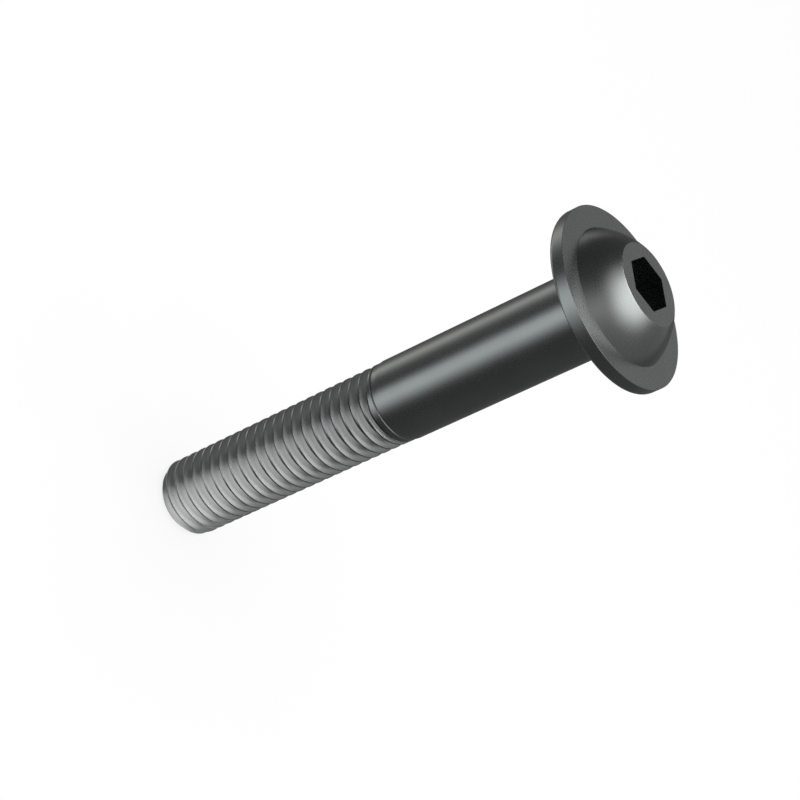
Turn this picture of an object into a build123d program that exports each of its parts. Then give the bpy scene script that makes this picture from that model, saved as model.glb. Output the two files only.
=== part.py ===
"""Flanged button head screw with a hexagon socket, stood upright on its threaded end.

It is one piece. The blank is a turned form: chamfered end, thread stock, neck, plain shank, flange and
spherical dome. The socket is sunk into the crown, and one helical groove makes the thread. The origin is
the centre of the end face, +Z runs along the axis to the crown, and +X passes through a socket corner.
"""

import os
from math import ceil, hypot, radians, tan

from build123d import *

# Driving sizes in millimetres, and one angle in degrees; the groove is a V, less deep than the real thread
thread_diameter = 10.0
thread_pitch = 1.5
flank_angle = 30.0
groove_depth = 0.55
crest_allowance = 0.075
length = 65.0
plain_length = 29.3
neck_length = 0.5
runout_length = 1.5
end_diameter = 8.1
end_chamfer_length = 1.0
flange_diameter = 21.9
flange_thickness = 1.9
dome_diameter = 16.5
crown_diameter = 9.94
head_height = 5.5
socket_width = 6.0
socket_depth = 4.04
under_head_chamfer = 0.4
rim_back_chamfer = 0.45
edge_break = 0.1

# Clearances: the groove's end below the neck, and the cutter past the stock
neck_clearance = 0.05
cutter_clearance = 0.1

# Distances from the axis
nominal_radius = thread_diameter / 2
crest_radius = nominal_radius - crest_allowance
root_radius = crest_radius - groove_depth
cutter_radius = nominal_radius + cutter_clearance
end_radius = end_diameter / 2
flange_radius = flange_diameter / 2
dome_foot_radius = dome_diameter / 2
crown_radius = crown_diameter / 2

# Heights above the end face
neck_top = length - plain_length
neck_base = neck_top - neck_length
groove_top = neck_base - neck_clearance
flange_top = length + flange_thickness
crown_top = length + head_height

# The dome is part of a sphere centred on the axis, which passes through the dome's foot and the crown's rim
foot_to_crown_slope = (dome_foot_radius**2 - crown_radius**2) / (flange_top - crown_top)
dome_centre = (flange_top + crown_top + foot_to_crown_slope) / 2
dome_radius = hypot(crown_radius, crown_top - dome_centre)


def groove_half_width(radius):
    """Half the V groove's width along the axis, at a distance from the axis."""
    return (radius - root_radius) * tan(radians(flank_angle))


def runout_height(radius):
    """Height at which the runout cone, which the groove's floor climbs, has this radius."""
    return groove_top - runout_length * (crest_radius - radius) / groove_depth


# One turn of the groove starts at +X, half a pitch below the end face, and its copies climb past the neck
turn_count = ceil(neck_top / thread_pitch) + 1
turn_starts = [(turn - 1 / 2) * thread_pitch for turn in range(turn_count)]
last_full_start = runout_height(root_radius) - 2 * thread_pitch
full_turns = [(0, 0, start) for start in turn_starts if start < last_full_start]
fading_turns = [(0, 0, start) for start in turn_starts if start >= last_full_start]
runout_core = root_radius - cutter_clearance
runout_rim = cutter_radius + cutter_clearance

with BuildPart() as groove_turn:
    with BuildLine():
        root_helix = Helix(thread_pitch, thread_pitch, root_radius)
    with BuildSketch(Plane.XZ):
        with BuildLine():
            Polyline(
                (root_radius, 0),
                (cutter_radius, groove_half_width(cutter_radius)),
                (cutter_radius, -groove_half_width(cutter_radius)),
                close=True,
            )
        make_face()
    sweep(path=root_helix, is_frenet=True)

# The last turns lose what lies inside the runout cone
with BuildPart() as groove_end:
    with Locations(*fading_turns):
        add(groove_turn.part)
    with BuildSketch(Plane.XZ):
        with BuildLine():
            Polyline(
                (0, runout_height(runout_core)),
                (runout_core, runout_height(runout_core)),
                (runout_rim, runout_height(runout_rim)),
                (runout_rim, length),
                (0, length),
                close=True,
            )
        make_face()
    revolve(axis=Axis.Z, mode=Mode.SUBTRACT)


def corner(section, radius, height):
    """The corner of a half section nearest to this radius and height."""
    return section.vertices().sort_by_distance((radius, height))[0]


with BuildPart() as screw:
    with BuildSketch(Plane.XZ) as half_section:
        with BuildLine():
            Polyline(
                (0, crown_top),
                (0, 0),
                (end_radius, 0),
                (crest_radius, end_chamfer_length),
                (crest_radius, neck_base),
                (nominal_radius, neck_top),
                (nominal_radius, length),
                (flange_radius, length),
                (flange_radius, flange_top),
                (dome_foot_radius, flange_top),
            )
            RadiusArc((dome_foot_radius, flange_top), (crown_radius, crown_top), -dome_radius)
            Line((crown_radius, crown_top), (0, crown_top))
        make_face()
        chamfer(corner(half_section, nominal_radius, length), under_head_chamfer)
        chamfer(corner(half_section, flange_radius, length), rim_back_chamfer)
        chamfer(corner(half_section, flange_radius, flange_top), edge_break)
        chamfer(corner(half_section, crown_radius, crown_top), edge_break)
    revolve(axis=Axis.Z)
    with BuildSketch(Plane.XY.offset(crown_top)):
        RegularPolygon(socket_width / 2, 6, major_radius=False)
    extrude(amount=-socket_depth, mode=Mode.SUBTRACT)
    with Locations(*full_turns):
        add(groove_turn.part, mode=Mode.SUBTRACT)
    add(groove_end.part, mode=Mode.SUBTRACT)

os.makedirs("parts", exist_ok=True)
screw.part.label = "screw"
export_step(screw.part, "parts/screw.step")
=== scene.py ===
"""Looks of the flanged button head screw: its turned and threaded body, its dark steel and its stage."""

from math import atan2, cos, degrees, hypot, radians, sin, tan

import bpy
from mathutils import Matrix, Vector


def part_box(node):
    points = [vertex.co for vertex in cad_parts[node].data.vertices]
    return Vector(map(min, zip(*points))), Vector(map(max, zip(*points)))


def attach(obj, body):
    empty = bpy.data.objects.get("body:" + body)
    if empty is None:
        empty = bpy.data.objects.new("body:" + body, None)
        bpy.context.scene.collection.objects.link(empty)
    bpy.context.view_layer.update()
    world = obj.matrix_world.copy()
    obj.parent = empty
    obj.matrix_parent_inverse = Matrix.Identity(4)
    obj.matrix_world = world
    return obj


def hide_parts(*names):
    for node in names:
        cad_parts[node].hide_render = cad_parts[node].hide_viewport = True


bl_info = {
    "name": "Flanged button head screw",
    "version": (1, 0, 0),
    "blender": (4, 5, 0),
    "location": "3D View > Sidebar > Screw",
    "description": "Models a flanged button head screw and sets its stage",
    "category": "Object",
}

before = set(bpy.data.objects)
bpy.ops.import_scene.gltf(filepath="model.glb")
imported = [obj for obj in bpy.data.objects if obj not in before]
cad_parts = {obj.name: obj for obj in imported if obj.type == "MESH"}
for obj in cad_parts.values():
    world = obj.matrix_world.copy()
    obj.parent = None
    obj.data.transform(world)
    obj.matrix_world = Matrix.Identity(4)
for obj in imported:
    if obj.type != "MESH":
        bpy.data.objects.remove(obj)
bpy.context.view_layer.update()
CAD_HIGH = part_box("screw")[1]
MM = 0.001


class ScrewSizes(bpy.types.PropertyGroup):
    """Sizes of the screw in metres, along and round its axis."""

    head_top: bpy.props.FloatProperty(
        name="Overall length", description="Height of the crown above the end face",
        default=CAD_HIGH.z, unit="LENGTH")
    flange_radius: bpy.props.FloatProperty(
        name="Flange radius", description="Radius of the flange's rim",
        default=CAD_HIGH.x, unit="LENGTH")
    head_height: bpy.props.FloatProperty(
        name="Head height", description="Height of the crown above the bearing face",
        default=5.5 * MM, unit="LENGTH")
    flange_thickness: bpy.props.FloatProperty(
        name="Flange thickness", description="Height of the flange's flat front above the bearing face",
        default=1.9 * MM, unit="LENGTH")
    dome_foot_radius: bpy.props.FloatProperty(
        name="Dome foot radius", description="Radius at which the dome meets the flange",
        default=8.25 * MM, unit="LENGTH")
    crown_radius: bpy.props.FloatProperty(
        name="Crown radius", description="Radius of the flat crown",
        default=4.97 * MM, unit="LENGTH")
    shank_radius: bpy.props.FloatProperty(
        name="Shank radius", description="Radius of the plain shank",
        default=5.0 * MM, unit="LENGTH")
    plain_length: bpy.props.FloatProperty(
        name="Plain length", description="Length of the shank between the head and the neck",
        default=29.3 * MM, unit="LENGTH")
    neck_length: bpy.props.FloatProperty(
        name="Neck length", description="Length of the cone between the shank and the thread",
        default=0.5 * MM, unit="LENGTH")
    crest_radius: bpy.props.FloatProperty(
        name="Crest radius", description="Radius of the thread's crests",
        default=4.925 * MM, unit="LENGTH")
    root_radius: bpy.props.FloatProperty(
        name="Root radius", description="Radius of the thread's roots",
        default=3.995 * MM, unit="LENGTH")
    pitch: bpy.props.FloatProperty(
        name="Pitch", description="Distance from one turn of the thread to the next",
        default=1.5 * MM, unit="LENGTH")
    root_flat: bpy.props.FloatProperty(
        name="Root flat", description="Width of the groove's floor",
        default=0.25 * MM, unit="LENGTH")
    end_radius: bpy.props.FloatProperty(
        name="End radius", description="Radius of the flat end face",
        default=4.05 * MM, unit="LENGTH")
    end_chamfer: bpy.props.FloatProperty(
        name="End chamfer", description="Length of the chamfer at the end",
        default=1.0 * MM, unit="LENGTH")
    socket_width: bpy.props.FloatProperty(
        name="Socket width", description="Width of the hexagon socket across its flats",
        default=6.0 * MM, unit="LENGTH")
    socket_depth: bpy.props.FloatProperty(
        name="Socket depth", description="Depth of the hexagon socket",
        default=4.04 * MM, unit="LENGTH")
    under_head_fillet: bpy.props.FloatProperty(
        name="Under head fillet", description="Radius of the fillet between the shank and the bearing face",
        default=0.5 * MM, unit="LENGTH")
    rim_fillet: bpy.props.FloatProperty(
        name="Rim fillet", description="Radius of the flange's rounded back edge",
        default=0.7 * MM, unit="LENGTH")
    edge_break: bpy.props.FloatProperty(
        name="Edge break", description="Size of the small breaks on the front edges of the head",
        default=0.025 * MM, unit="LENGTH")
    sides: bpy.props.IntProperty(
        name="Sides", description="Number of steps round the axis", default=180, min=24)


class ScrewFinishAndPaintedLight(bpy.types.PropertyGroup):
    """Colour and sheen of the screw's steel, with a painted highlight on the thread's flanks and painted
    shade in its roots.
    """

    coating_colour: bpy.props.FloatVectorProperty(
        name="Coating colour", description="Colour of the dark coating",
        subtype="COLOR", default=(0.143, 0.152, 0.149))
    coating_roughness: bpy.props.FloatProperty(
        name="Coating roughness", description="Roughness of the dark coating",
        default=0.27, min=0.0, max=1.0, subtype="FACTOR")
    # Painted highlight: the flanks that face the head are painted lighter than the coating, standing in for
    # the light that they reflect
    flank_painted_highlight: bpy.props.FloatVectorProperty(
        name="Flank colour", description="Colour of the flanks that face the head, next to the crests",
        subtype="COLOR", default=(0.19, 0.195, 0.193))
    # Painted light: deeper in the groove the flanks are painted lighter still, making up for the shade
    # there
    deep_painted_highlight: bpy.props.FloatVectorProperty(
        name="Deep colour", description="Colour of the flanks that face the head, next to the roots",
        subtype="COLOR", default=(0.43, 0.442, 0.437))
    flank_metal: bpy.props.FloatProperty(
        name="Flank metal", description="Share of bare metal in the flanks that face the head",
        default=0.75, min=0.0, max=1.0, subtype="FACTOR")
    # Painted shade: the groove's floor is painted dark where the groove shades it
    root_painted_shade: bpy.props.FloatVectorProperty(
        name="Root colour", description="Colour of the thread's dark roots",
        subtype="COLOR", default=(0.03, 0.031, 0.031))
    flank_roughness: bpy.props.FloatProperty(
        name="Flank roughness", description="Roughness of the flanks that face the head",
        default=0.38, min=0.0, max=1.0, subtype="FACTOR")


class ScrewStage(bpy.types.PropertyGroup):
    """Floor, room light, lamps and camera."""

    floor_colour: bpy.props.FloatVectorProperty(
        name="Floor colour", description="Colour of the floor",
        subtype="COLOR", default=(0.9, 0.9, 0.9))
    room_light: bpy.props.FloatProperty(
        name="Room light", description="Brightness of the soft light from all round",
        default=0.6, min=0.0)
    lamp_power: bpy.props.FloatProperty(
        name="Lamp power", description="Power of the soft lamp overhead",
        default=2.2, min=0.0, unit="POWER")
    low_lamp_power: bpy.props.FloatProperty(
        name="Low lamp power", description="Power of the low lamp that lights the thread's flanks",
        default=38.0, min=0.0, unit="POWER")
    camera_side: bpy.props.FloatProperty(
        name="Camera side", description="Side of the camera, from +X, by which the lamps and cards are set",
        default=radians(61.956), subtype="ANGLE")
    camera_lens: bpy.props.FloatProperty(
        name="Camera lens", description="Focal length in millimetres on a 36 mm sensor",
        default=96.248)


def clear_selection():
    """Goes to object mode and deselects everything."""
    if bpy.context.mode != "OBJECT":
        bpy.ops.object.mode_set(mode="OBJECT")
    bpy.ops.object.select_all(action="DESELECT")


def pick(piece):
    """Makes a piece the only selected and the active object."""
    clear_selection()
    piece.select_set(True)
    bpy.context.view_layer.objects.active = piece


def apply_modifier(piece, kind, **settings):
    """Adds a modifier, sets it and applies it."""
    pick(piece)
    modifier = piece.modifiers.new(kind.title(), kind)
    for name, value in settings.items():
        setattr(modifier, name, value)
    bpy.ops.object.modifier_apply(modifier=modifier.name)


def cut_away(piece, cutter):
    """Takes the cutter's solid out of the piece and deletes the cutter."""
    apply_modifier(piece, "BOOLEAN", operation="DIFFERENCE", solver="EXACT", object=cutter)
    bpy.data.objects.remove(cutter)


def arc_rings(centre_radius, centre_height, radius, start, end, steps):
    """(radius, height) of points on an arc of the half section, from one angle to another in degrees."""
    angles = [radians(start + (end - start) * step / steps) for step in range(steps + 1)]
    return [(centre_radius + radius * cos(a), centre_height + radius * sin(a)) for a in angles]


# Steps of the rounds, and how far from them a ring stands that keeps the flat part next to them flat
FILLET_STEPS = 8
RIM_STEPS = 10
DOME_STEPS = 24
SUPPORT = 0.15 * MM


def blank_rings(sizes):
    """The turned form's half section above the end face, from the end chamfer to the crown."""
    bearing = sizes.head_top - sizes.head_height
    flange_top = bearing + sizes.flange_thickness
    neck_top = bearing - sizes.plain_length
    rings = [(sizes.crest_radius, sizes.end_chamfer), (sizes.crest_radius, neck_top - sizes.neck_length)]
    rings += [(sizes.shank_radius, neck_top), (sizes.shank_radius, neck_top + SUPPORT)]
    fillet = sizes.under_head_fillet
    rings += [(sizes.shank_radius, bearing - fillet - SUPPORT)]
    rings += arc_rings(sizes.shank_radius + fillet, bearing - fillet, fillet, 180, 90, FILLET_STEPS)
    rings += [(sizes.shank_radius + fillet + SUPPORT, bearing)]
    fillet = sizes.rim_fillet
    rings += [(sizes.flange_radius - fillet - SUPPORT, bearing)]
    rings += arc_rings(sizes.flange_radius - fillet, bearing + fillet, fillet, 270, 360, RIM_STEPS)
    rings += [(sizes.flange_radius, bearing + fillet + SUPPORT)]
    rings += [(sizes.flange_radius, flange_top - sizes.edge_break)]
    rings += [(sizes.flange_radius - sizes.edge_break, flange_top), (sizes.dome_foot_radius, flange_top)]
    # The dome is part of a sphere on the axis, through the dome's foot and the crown's rim
    drop = flange_top - sizes.head_top
    slope = (sizes.dome_foot_radius**2 - sizes.crown_radius**2) / drop
    centre = (flange_top + sizes.head_top + slope) / 2
    dome = hypot(sizes.crown_radius, sizes.head_top - centre)
    foot_angle = degrees(atan2(flange_top - centre, sizes.dome_foot_radius))
    crown_angle = degrees(atan2(sizes.head_top - centre, sizes.crown_radius))
    rings += arc_rings(0, centre, dome, foot_angle, crown_angle, DOME_STEPS)[1:-1]
    break_out, break_down = sizes.edge_break * 0.6, sizes.edge_break * 0.8
    rings += [(sizes.crown_radius + break_out, sizes.head_top - break_down)]
    rings += [(sizes.crown_radius - sizes.edge_break, sizes.head_top)]
    rings += [(sizes.crown_radius - sizes.edge_break - SUPPORT / 2, sizes.head_top)]
    return rings


def turned_blank(sizes):
    """The turned form: a filled circle for the end face, extruded ring by ring up to the crown."""
    clear_selection()
    bpy.ops.mesh.primitive_circle_add(
        vertices=sizes.sides, radius=sizes.end_radius, fill_type="NGON", location=(0, 0, 0))
    blank = bpy.context.object
    blank.name = "screw_body"
    bpy.ops.object.mode_set(mode="EDIT")
    bpy.ops.mesh.select_mode(type="VERT")
    bpy.ops.mesh.select_all(action="SELECT")
    radius, height = sizes.end_radius, 0.0
    for next_radius, next_height in blank_rings(sizes):
        bpy.ops.mesh.extrude_region_move(
            TRANSFORM_OT_translate={"value": (0, 0, next_height - height)})
        share = next_radius / radius
        bpy.ops.transform.resize(
            value=(share, share, 1), center_override=(0, 0, next_height))
        radius, height = next_radius, next_height
    bpy.ops.mesh.select_all(action="SELECT")
    bpy.ops.mesh.normals_make_consistent(inside=False)
    bpy.ops.object.mode_set(mode="OBJECT")
    return blank


# The cutter starts this many turns below angle 0, so below the end face
LEAD_TURNS = 2
# It reaches this far past the crests
GROOVE_CLEARANCE = 0.175 * MM
FLANK_ANGLE = radians(30)
# Angle along the thread, in degrees from +X, of the last place with the full depth
LAST_FULL_PLACE = 22 * 360 + 12
# How the groove fades from there: (degrees past that place, share of the full depth)
FADE = (
    (0, 1.0), (50, 0.50), (100, 0.48), (138, 0.43), (322, 0.31), (360, 0.22), (400, 0.17), (445, 0.14),
    (474, 0.04), (485, -0.05), (500, -0.15))
# The groove's floor narrows below this share of the depth, down to the smallest share of its width
NARROWING_SHARE = 0.5
SMALLEST_FLAT = 0.2


def fade_share(past):
    """Share of the full groove depth at an angle, in degrees, past the last full place."""
    if past <= 0:
        return 1.0
    for (start, before), (end, after) in zip(FADE, FADE[1:]):
        if past <= end:
            return before + (after - before) * (past - start) / (end - start)
    return FADE[-1][1]


def groove_corners(sizes, share):
    """(radius, height) of the four corners of the groove's section, at a share of its full depth."""
    floor_radius = sizes.crest_radius - (sizes.crest_radius - sizes.root_radius) * share
    mouth_radius = sizes.crest_radius + GROOVE_CLEARANCE
    half_root = sizes.root_flat / 2
    half_floor = half_root * min(1, max(SMALLEST_FLAT, share / NARROWING_SHARE))
    half_mouth = half_floor + (mouth_radius - floor_radius) * tan(FLANK_ANGLE)
    # The flank that faces the head stays in line with that of the full groove
    middle = half_floor - half_root - (floor_radius - sizes.root_radius) * tan(FLANK_ANGLE)
    return (
        (floor_radius, middle - half_floor), (floor_radius, middle + half_floor),
        (mouth_radius, middle + half_mouth), (mouth_radius, middle - half_mouth))


def thread_place(sizes, corner, angle):
    """Where a corner of the groove's section stands at an angle, in degrees, along the thread."""
    radius, height = corner
    lift = sizes.pitch * (1 / 2 + angle / 360)
    return (radius * cos(radians(angle)), radius * sin(radians(angle)), lift + height)


def thread_cutter(sizes):
    """The helical groove's solid: a section swept by the Screw modifier, with an end that climbs out."""
    step_angle = 360 / sizes.sides
    first = step_angle / 2 - 360 * LEAD_TURNS
    steps = int((LAST_FULL_PLACE + FADE[-1][0] - first) / step_angle)
    corners = groove_corners(sizes, 1)
    clear_selection()
    bpy.ops.mesh.primitive_circle_add(vertices=len(corners), radius=1 * MM, location=(0, 0, 0))
    cutter = bpy.context.object
    cutter.name = "groove_cutter"
    for vertex, corner in zip(cutter.data.vertices, corners):
        vertex.co = thread_place(sizes, corner, first)
    apply_modifier(
        cutter, "SCREW", angle=radians(steps * step_angle), screw_offset=sizes.pitch * steps / sizes.sides,
        steps=steps, render_steps=steps, axis="Z", use_merge_vertices=False)
    for number, vertex in enumerate(cutter.data.vertices):
        step, corner = divmod(number, len(corners))
        angle = first + step * step_angle
        share = fade_share(angle - LAST_FULL_PLACE)
        if share < 1:
            vertex.co = thread_place(sizes, groove_corners(sizes, share)[corner], angle)
    pick(cutter)
    bpy.ops.object.mode_set(mode="EDIT")
    bpy.ops.mesh.select_all(action="SELECT")
    bpy.ops.mesh.fill_holes(sides=len(corners))
    bpy.ops.mesh.select_all(action="SELECT")
    bpy.ops.mesh.normals_make_consistent(inside=False)
    bpy.ops.object.mode_set(mode="OBJECT")
    return cutter


def socket_cutter(sizes):
    """The hexagon socket's solid, with a corner on +X, reaching past the crown."""
    reach = 1 * MM
    half_side = radians(30)
    clear_selection()
    bpy.ops.mesh.primitive_cylinder_add(
        vertices=6, radius=sizes.socket_width / 2 / cos(half_side), depth=sizes.socket_depth + reach,
        location=(0, 0, sizes.head_top + (reach - sizes.socket_depth) / 2), rotation=(0, 0, half_side))
    bpy.ops.object.transform_apply(location=True, rotation=True, scale=True)
    return bpy.context.object


def node(tree, kind, **values):
    """Adds a shader node; a value names one of its inputs or one of its own settings."""
    made = tree.nodes.new(kind)
    for name, value in values.items():
        if hasattr(made, name):
            setattr(made, name, value)
        else:
            made.inputs[name].default_value = value
    return made


# Tints of light and colour
PLAIN = (1.0, 1.0, 1.0)
COOL = (0.985, 1.0, 1.025)
WARM = (1.02, 1.0, 0.985)


def add_stops(ramp, stops, brightest):
    """Fills a colour ramp with (position, brightness, tint) stops, as shares of the brightest."""
    ramp.interpolation = "EASE"
    while len(ramp.elements) > 1:
        ramp.elements.remove(ramp.elements[0])
    for number, (position, brightness, tint) in enumerate(stops):
        stop = ramp.elements[0] if number == 0 else ramp.elements.new(position)
        stop.position = position
        stop.color = (*(brightness / brightest * channel for channel in tint), 1)


def share_between(tree, value, nothing, whole):
    """A socket that goes from 0 to 1 as a value goes from one limit to the other."""
    share = node(tree, "ShaderNodeMapRange")
    share.inputs["From Min"].default_value = nothing
    share.inputs["From Max"].default_value = whole
    tree.links.new(value, share.inputs["Value"])
    return share.outputs["Result"]


def product(tree, one, other):
    """A socket with the product of two others."""
    both = node(tree, "ShaderNodeMath", operation="MULTIPLY")
    tree.links.new(one, both.inputs[0])
    tree.links.new(other, both.inputs[1])
    return both.outputs["Value"]


# Places of a Mix node's sockets, for colours and for numbers
COLOUR_A = 6
COLOUR_B = 7
MIXED_COLOUR = 2
NUMBER_A = 2
NUMBER_B = 3
MIXED_NUMBER = 0
# How far the coating's colour and roughness stray from their middle
CLOUD_SPAN = 0.04
GRAIN_SPAN = 0.02
# Depths below the crests over which the flanks' painted highlight, their rougher and less metal surface and
# the roots' painted shade set in, and over which the painted highlight grows lighter, making up for the
# groove's shade
FLANK_EDGE = (0.015 * MM, 0.045 * MM)
FLANK_DEEP = (0.1 * MM, 0.7 * MM)
# Length below the plain shank over which the thread's painted highlight and painted shade, and its rougher
# and less metal flanks, set in
THREAD_EDGE = 0.3 * MM
# Height part of the normal over which a face becomes a flank that faces the head, or the groove's floor
FLANK_SLANT = (0.72, 0.80)
ROOT_SLANT = (0.3, 0.1)


def thread_masks(tree, place, sizes):
    """Masks of the flanks that face the head, of their deep part and of the groove's floor: where the
    painted highlight, its lighter deep part and the painted shade go.
    """
    # The distance from the axis, the height, and how far a face points along the axis
    across = node(tree, "ShaderNodeVectorMath", operation="MULTIPLY")
    across.inputs[1].default_value = (1, 1, 0)
    reach = node(tree, "ShaderNodeVectorMath", operation="LENGTH")
    position = node(tree, "ShaderNodeSeparateXYZ")
    normal = node(tree, "ShaderNodeSeparateXYZ")
    slant = node(tree, "ShaderNodeMath", operation="ABSOLUTE")
    tree.links.new(place.outputs["Object"], across.inputs[0])
    tree.links.new(across.outputs["Vector"], reach.inputs[0])
    tree.links.new(place.outputs["Object"], position.inputs["Vector"])
    tree.links.new(place.outputs["Normal"], normal.inputs["Vector"])
    tree.links.new(normal.outputs["Z"], slant.inputs[0])
    radius = reach.outputs["Value"]
    below_crest = share_between(tree, radius, *(sizes.crest_radius - depth for depth in FLANK_EDGE))
    deep = share_between(tree, radius, *(sizes.crest_radius - depth for depth in FLANK_DEEP))
    thread_top = sizes.head_top - sizes.head_height - sizes.plain_length
    threaded = share_between(tree, position.outputs["Z"], thread_top, thread_top - THREAD_EDGE)
    groove = product(tree, below_crest, threaded)
    flanks = product(tree, groove, share_between(tree, normal.outputs["Z"], *FLANK_SLANT))
    roots = product(tree, groove, share_between(tree, slant.outputs["Value"], *ROOT_SLANT))
    return flanks, product(tree, flanks, deep), roots


def dark_steel(finish_and_painted_light, sizes):
    """Dark coating with fine grain and cloudy colour; the thread's flanks that face the head are matt with
    a painted highlight, lighter still deep down, and its roots have painted shade.
    """
    material = bpy.data.materials.new("dark_steel")
    material.use_nodes = True
    tree = material.node_tree
    shader = tree.nodes["Principled BSDF"]
    place = node(tree, "ShaderNodeTexCoord")
    clouds = node(tree, "ShaderNodeTexNoise", Scale=140.0, Detail=4.0, Roughness=0.55)
    grain = node(tree, "ShaderNodeTexNoise", Scale=5200.0, Detail=3.0, Roughness=0.6)
    for pattern in (clouds, grain):
        tree.links.new(place.outputs["Object"], pattern.inputs["Vector"])
    flanks, deep_flanks, roots = thread_masks(tree, place, sizes)
    clouded = node(tree, "ShaderNodeValToRGB")
    lightest = 1 + CLOUD_SPAN
    add_stops(clouded.color_ramp, ((0.3, 1 - CLOUD_SPAN, PLAIN), (0.7, lightest, PLAIN)), lightest)
    tree.links.new(clouds.outputs["Fac"], clouded.inputs["Fac"])
    coat = node(tree, "ShaderNodeMix", data_type="RGBA", blend_type="MULTIPLY")
    coat.inputs["Factor"].default_value = 1.0
    coat.inputs[COLOUR_A].default_value = (*(channel * lightest for channel in finish_and_painted_light.coating_colour), 1)
    tree.links.new(clouded.outputs["Color"], coat.inputs[COLOUR_B])
    colour = coat.outputs[MIXED_COLOUR]
    # Painted light: a lighter colour on the flanks that face the head as a painted highlight, lighter still
    # deep in the groove to make up for its shade, and a dark colour in the roots as painted shade
    for mask, paint in (
        (flanks, finish_and_painted_light.flank_painted_highlight), (deep_flanks, finish_and_painted_light.deep_painted_highlight), (roots, finish_and_painted_light.root_painted_shade)):
        layer = node(tree, "ShaderNodeMix", data_type="RGBA")
        tree.links.new(mask, layer.inputs["Factor"])
        tree.links.new(colour, layer.inputs[COLOUR_A])
        layer.inputs[COLOUR_B].default_value = (*paint, 1)
        colour = layer.outputs[MIXED_COLOUR]
    tree.links.new(colour, shader.inputs["Base Color"])
    metal = node(tree, "ShaderNodeMapRange")
    metal.inputs["To Min"].default_value = 1.0
    metal.inputs["To Max"].default_value = finish_and_painted_light.flank_metal
    tree.links.new(flanks, metal.inputs["Value"])
    tree.links.new(metal.outputs["Result"], shader.inputs["Metallic"])
    sheen = node(tree, "ShaderNodeMapRange")
    sheen.inputs["To Min"].default_value = finish_and_painted_light.coating_roughness - GRAIN_SPAN
    sheen.inputs["To Max"].default_value = finish_and_painted_light.coating_roughness + GRAIN_SPAN
    tree.links.new(grain.outputs["Fac"], sheen.inputs["Value"])
    dulled = node(tree, "ShaderNodeMix", data_type="FLOAT")
    dulled.inputs[NUMBER_B].default_value = finish_and_painted_light.flank_roughness
    tree.links.new(flanks, dulled.inputs["Factor"])
    tree.links.new(sheen.outputs["Result"], dulled.inputs[NUMBER_A])
    tree.links.new(dulled.outputs[MIXED_NUMBER], shader.inputs["Roughness"])
    bump = node(tree, "ShaderNodeBump", Strength=0.04, Distance=0.02 * MM)
    tree.links.new(grain.outputs["Fac"], bump.inputs["Height"])
    tree.links.new(bump.outputs["Normal"], shader.inputs["Normal"])
    return material


# Edges sharper than this stay sharp
SMOOTH_ANGLE = radians(28)


class SCREW_OT_body(bpy.types.Operator):
    """Model the screw: turn the blank, cut the thread and sink the socket"""

    bl_idname = "screw.body"
    bl_label = "Model the screw"
    bl_options = {"REGISTER", "UNDO"}

    def execute(self, context):
        sizes = context.scene.screw_sizes
        body = turned_blank(sizes)
        cut_away(body, thread_cutter(sizes))
        cut_away(body, socket_cutter(sizes))
        body.data.materials.clear()
        body.data.materials.append(dark_steel(context.scene.screw_finish, sizes))
        pick(body)
        bpy.ops.object.shade_smooth_by_angle(angle=SMOOTH_ANGLE)
        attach(body, "root")
        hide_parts("screw")
        return {"FINISHED"}


def seen_directly(tree):
    """A socket that is 1 where the camera, a reflection or clear glass looks, and 0 for light on things."""
    path = node(tree, "ShaderNodeLightPath")
    both = node(tree, "ShaderNodeMath", operation="MAXIMUM")
    seen = node(tree, "ShaderNodeMath", operation="MAXIMUM")
    tree.links.new(path.outputs["Is Camera Ray"], both.inputs[0])
    tree.links.new(path.outputs["Is Glossy Ray"], both.inputs[1])
    tree.links.new(both.outputs["Value"], seen.inputs[0])
    tree.links.new(path.outputs["Is Transmission Ray"], seen.inputs[1])
    return seen.outputs["Value"]


# Share of its own white that the floor shows to the camera and in reflections; the rest takes the shadow
FLOOR_GLOW = 0.85


def floor_material(stage):
    """Pale matt floor that shows white to the camera and in reflections, and keeps the screw's shadow."""
    material = bpy.data.materials.new("pale_floor")
    material.use_nodes = True
    material.cycles.emission_sampling = "NONE"
    tree = material.node_tree
    shader = tree.nodes["Principled BSDF"]
    shader.inputs["Base Color"].default_value = (*stage.floor_colour, 1)
    shader.inputs["Roughness"].default_value = 0.9
    white = node(tree, "ShaderNodeEmission")
    share = node(tree, "ShaderNodeMath", operation="MULTIPLY")
    share.inputs[1].default_value = FLOOR_GLOW
    mix = node(tree, "ShaderNodeMixShader")
    tree.links.new(seen_directly(tree), share.inputs[0])
    tree.links.new(share.outputs["Value"], mix.inputs["Fac"])
    tree.links.new(shader.outputs["BSDF"], mix.inputs[1])
    tree.links.new(white.outputs["Emission"], mix.inputs[2])
    tree.links.new(mix.outputs["Shader"], tree.nodes["Material Output"].inputs["Surface"])
    return material


def studio_world(stage):
    """White room that lights things softly."""
    world = bpy.data.worlds.new("studio")
    world.use_nodes = True
    world.cycles.sampling_method = "NONE"
    tree = world.node_tree
    room = tree.nodes["Background"]
    room.inputs["Color"].default_value = (1, 1, 1, 1)
    room.inputs["Strength"].default_value = stage.room_light
    white = node(tree, "ShaderNodeBackground")
    white.inputs["Color"].default_value = (1, 1, 1, 1)
    mix = node(tree, "ShaderNodeMixShader")
    tree.links.new(seen_directly(tree), mix.inputs["Fac"])
    tree.links.new(room.outputs["Background"], mix.inputs[1])
    tree.links.new(white.outputs["Background"], mix.inputs[2])
    tree.links.new(mix.outputs["Shader"], tree.nodes["World Output"].inputs["Surface"])
    return world


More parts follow.
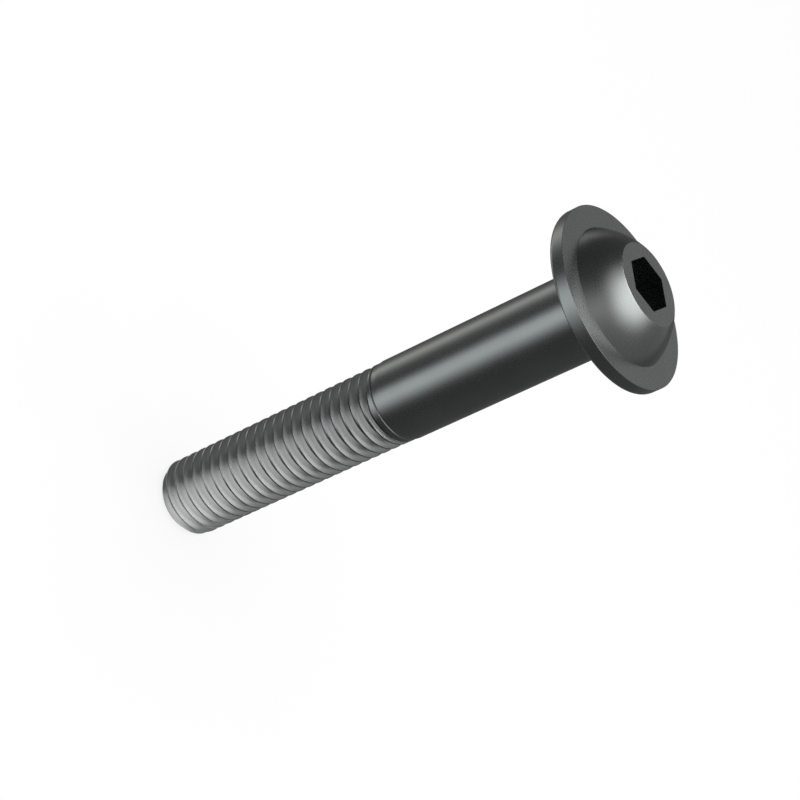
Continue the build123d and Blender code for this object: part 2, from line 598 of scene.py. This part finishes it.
def soft_lamp(name, place, turn, size, power):
    """Round area lamp that lights things without showing in reflections or to the camera."""
    bpy.ops.object.light_add(type="AREA", location=place, rotation=turn)
    lamp = bpy.context.object
    lamp.name = name
    lamp.data.shape = "DISK"
    lamp.data.size = size
    lamp.data.energy = power
    lamp.visible_glossy = False
    lamp.visible_camera = False


def finish_card(card, name):
    """Names a card or panel, keeps it out of all but reflections, and returns the node of its glow."""
    card.name = name
    material = bpy.data.materials.new(name)
    material.use_nodes = True
    tree = material.node_tree
    tree.nodes.remove(tree.nodes["Principled BSDF"])
    glow = node(tree, "ShaderNodeEmission")
    tree.links.new(glow.outputs["Emission"], tree.nodes["Material Output"].inputs["Surface"])
    card.data.materials.append(material)
    for ray in ("camera", "diffuse", "transmission", "volume_scatter", "shadow"):
        setattr(card, "visible_" + ray, False)
    return glow


# Sides of the ring cards and of the panels
RING_SIDES = 96
PANEL_SIDES = 64


def ring_card(name, inner, outer, camera_side, stops):
    """Card all round the screw, from one (radius, height) to another; its brightness follows the stops."""
    (inner_radius, inner_height), (outer_radius, outer_height) = inner, outer
    clear_selection()
    bpy.ops.mesh.primitive_circle_add(
        vertices=RING_SIDES, radius=inner_radius, location=(0, 0, inner_height))
    card = bpy.context.object
    bpy.ops.object.transform_apply(location=True, rotation=True, scale=True)
    bpy.ops.object.mode_set(mode="EDIT")
    bpy.ops.mesh.select_mode(type="EDGE")
    bpy.ops.mesh.select_all(action="SELECT")
    bpy.ops.mesh.extrude_region_move(
        TRANSFORM_OT_translate={"value": (0, 0, outer_height - inner_height)})
    share = outer_radius / inner_radius
    bpy.ops.transform.resize(value=(share, share, 1), center_override=(0, 0, outer_height))
    bpy.ops.object.mode_set(mode="OBJECT")
    glow = finish_card(card, name)
    tree = card.data.materials[0].node_tree
    place = node(tree, "ShaderNodeTexCoord")
    turn = node(tree, "ShaderNodeMapping")
    turn.inputs["Rotation"].default_value = (0, 0, -camera_side)
    round_way = node(tree, "ShaderNodeTexGradient", gradient_type="RADIAL")
    ramp = node(tree, "ShaderNodeValToRGB")
    brightest = max(brightness for angle, brightness, tint in stops)
    # The gradient is 0.5 on the camera's side, where the angles of the stops begin
    shares = [(angle / 360 + 0.5, brightness, tint) for angle, brightness, tint in stops]
    add_stops(ramp.color_ramp, shares, brightest)
    glow.inputs["Strength"].default_value = brightest
    tree.links.new(place.outputs["Object"], turn.inputs["Vector"])
    tree.links.new(turn.outputs["Vector"], round_way.inputs["Vector"])
    tree.links.new(round_way.outputs["Fac"], ramp.inputs["Fac"])
    tree.links.new(ramp.outputs["Color"], glow.inputs["Color"])


def disc_panel(name, side, height_angle, spread, stops):
    """Round panel a metre away, facing the screw; its brightness goes by the stops from edge to middle."""
    clear_selection()
    place = (cos(side) * cos(height_angle), sin(side) * cos(height_angle), sin(height_angle))
    bpy.ops.mesh.primitive_circle_add(
        vertices=PANEL_SIDES, radius=1, fill_type="NGON", location=place,
        rotation=(0, radians(90) - height_angle, side))
    panel = bpy.context.object
    panel.scale = (tan(spread), tan(spread), 1)
    glow = finish_card(panel, name)
    tree = panel.data.materials[0].node_tree
    place = node(tree, "ShaderNodeTexCoord")
    fade = node(tree, "ShaderNodeTexGradient", gradient_type="SPHERICAL")
    ramp = node(tree, "ShaderNodeValToRGB")
    brightest = max(brightness for share, brightness in stops)
    add_stops(ramp.color_ramp, [(share, brightness, PLAIN) for share, brightness in stops], brightest)
    glow.inputs["Strength"].default_value = brightest
    tree.links.new(place.outputs["Object"], fade.inputs["Vector"])
    tree.links.new(fade.outputs["Fac"], ramp.inputs["Fac"])
    tree.links.new(ramp.outputs["Color"], glow.inputs["Color"])


# Stops of the ring cards, strips with dark between: (degrees from the camera's side, brightness, tint)
FLOOR_STRIPS = (
    (-180, 0.12, PLAIN), (-150, 0.15, PLAIN), (-138, 0.19, WARM), (-123, 0.48, WARM), (-109, 1.60, WARM),
    (-101, 1.50, WARM), (-90, 0.75, WARM), (-78, 0.30, PLAIN), (-54, 0.20, PLAIN), (-44, 0.85, COOL),
    (-34, 2.15, COOL), (-16, 2.30, COOL), (-3, 1.35, COOL), (6, 0.68, COOL), (16, 0.24, PLAIN),
    (28, 0.16, PLAIN), (90, 0.21, PLAIN), (140, 0.17, PLAIN), (180, 0.12, PLAIN))
HORIZON_STRIPS = (
    (-180, 0.12, PLAIN), (-158, 0.14, PLAIN), (-150, 0.24, WARM), (-141, 0.45, WARM), (-130, 0.80, WARM),
    (-118, 0.85, WARM), (-108, 0.50, WARM), (-98, 0.25, PLAIN), (-50, 0.20, PLAIN), (-36, 0.35, PLAIN),
    (-10, 0.90, PLAIN), (10, 0.75, PLAIN), (30, 0.32, PLAIN), (120, 0.24, PLAIN), (180, 0.12, PLAIN))
WALL_FLAGS = (
    (-180, 0.50, PLAIN), (-172, 0.40, PLAIN), (-160, 0.18, PLAIN), (-150, 0.14, PLAIN), (-118, 0.13, PLAIN),
    (-90, 0.12, PLAIN), (-52, 0.16, PLAIN), (-36, 0.36, PLAIN), (-20, 0.72, PLAIN), (-6, 1.05, PLAIN),
    (6, 1.08, PLAIN), (20, 0.76, PLAIN), (38, 0.56, PLAIN), (60, 0.50, PLAIN), (110, 0.46, PLAIN),
    (140, 0.47, PLAIN), (155, 0.52, PLAIN), (170, 0.52, PLAIN), (180, 0.50, PLAIN))
# The ring cards, and the (radius, height) of their edges: each card begins where the one before it ends
CARDS = (("floor_strips", FLOOR_STRIPS), ("horizon_strips", HORIZON_STRIPS), ("wall_flags", WALL_FLAGS))
CARD_EDGES = ((0.010, 0.0005), (1.0, 0.0005), (1.0, 0.2), (1.0, 1.7))
# (name, degrees round from the camera's side, degrees up, half the degrees that it spans, stops) of the
# panels; a stop has a share of the way from the edge to the middle, and the brightness there
PANELS = (
    ("top_panel", 85, 83.5, 40, ((0.02, 0.6), (0.23, 1.2), (0.39, 2.2), (0.57, 3.9), (0.70, 4.6))),
    ("back_panel", 180, 68, 13, ((0.02, 3.0), (0.5, 11.0))))
FLOOR_SIZE = 3
SOFT_LAMP_HEIGHT = 0.6
SOFT_LAMP_SIZE = 0.5
# The low lamp's distance from a point on the axis at the middle of the thread, and that point's height
LOW_LAMP_REACH = 0.4
LOW_LAMP_AIM = 17 * MM
# Its dip below that point, its turn from the camera's side, and its size
LOW_LAMP_DIP = radians(23.5)
LOW_LAMP_TURN = radians(7)
LOW_LAMP_SIZE = 0.03
CAMERA_PLACE = (0.09954426, 0.18686963, 0.16918046)
CAMERA_TURN = (radians(33.756084), radians(-49.998311), radians(-159.146946))


def low_lamp_place(side):
    """Where the low lamp stands, below the floor's level, and how it is turned to the thread."""
    front = side + LOW_LAMP_TURN
    away = LOW_LAMP_REACH * cos(LOW_LAMP_DIP)
    place = (away * cos(front), away * sin(front), LOW_LAMP_AIM - LOW_LAMP_REACH * sin(LOW_LAMP_DIP))
    return place, (radians(90) + LOW_LAMP_DIP, 0, front + radians(90))


class SCREW_OT_stage(bpy.types.Operator):
    """Set the floor, the lamps, the reflection cards, the world and the camera"""

    bl_idname = "screw.stage"
    bl_label = "Set the stage"
    bl_options = {"REGISTER", "UNDO"}

    def execute(self, context):
        stage = context.scene.screw_stage
        clear_selection()
        bpy.ops.mesh.primitive_plane_add(size=FLOOR_SIZE, location=(0, 0, 0))
        floor = context.object
        floor.name = "floor"
        floor.data.materials.append(floor_material(stage))
        # The floor takes shadows and casts none, so the low lamp's light passes it
        floor.visible_shadow = False
        context.scene.world = studio_world(stage)
        side = stage.camera_side
        soft_lamp("soft_lamp", (0, 0, SOFT_LAMP_HEIGHT), (0, 0, 0), SOFT_LAMP_SIZE, stage.lamp_power)
        soft_lamp("low_lamp", *low_lamp_place(side), LOW_LAMP_SIZE, stage.low_lamp_power)
        for (name, stops), inner, outer in zip(CARDS, CARD_EDGES, CARD_EDGES[1:]):
            ring_card(name, inner, outer, side, stops)
        for name, turn, height, spread, stops in PANELS:
            disc_panel(name, side + radians(turn), radians(height), radians(spread), stops)
        bpy.ops.object.camera_add(location=CAMERA_PLACE, rotation=CAMERA_TURN)
        camera = context.object
        camera.name = "camera"
        camera.data.lens = stage.camera_lens
        camera.data.sensor_width = 36
        camera.data.clip_start = 0.01
        context.scene.camera = camera
        context.scene.view_settings.view_transform = "Standard"
        return {"FINISHED"}


class SCREW_PT_panel(bpy.types.Panel):
    """Panel with the screw's sizes, its coating with the painted light on its thread, and its stage"""

    bl_label = "Screw"
    bl_idname = "SCREW_PT_panel"
    bl_space_type = "VIEW_3D"
    bl_region_type = "UI"
    bl_category = "Screw"

    def draw(self, context):
        for group, operator in (
            ("screw_sizes", "screw.body"), ("screw_finish", None), ("screw_stage", "screw.stage")):
            settings = getattr(context.scene, group)
            for name in settings.__annotations__:
                self.layout.prop(settings, name)
            if operator:
                self.layout.operator(operator)


CLASSES = (ScrewSizes, ScrewFinishAndPaintedLight, ScrewStage, SCREW_OT_body, SCREW_OT_stage, SCREW_PT_panel)
GROUPS = {"screw_sizes": ScrewSizes, "screw_finish": ScrewFinishAndPaintedLight, "screw_stage": ScrewStage}


def register():
    """Registers the classes and puts the property groups on the scene."""
    for item in CLASSES:
        bpy.utils.register_class(item)
    for name, group in GROUPS.items():
        setattr(bpy.types.Scene, name, bpy.props.PointerProperty(type=group))


def unregister():
    """Takes the property groups and the classes away again."""
    for name in GROUPS:
        delattr(bpy.types.Scene, name)
    for item in reversed(CLASSES):
        bpy.utils.unregister_class(item)


def main():
    """Builds the screw and its stage."""
    register()
    bpy.ops.screw.body()
    bpy.ops.screw.stage()


if __name__ == "__main__":
    main()
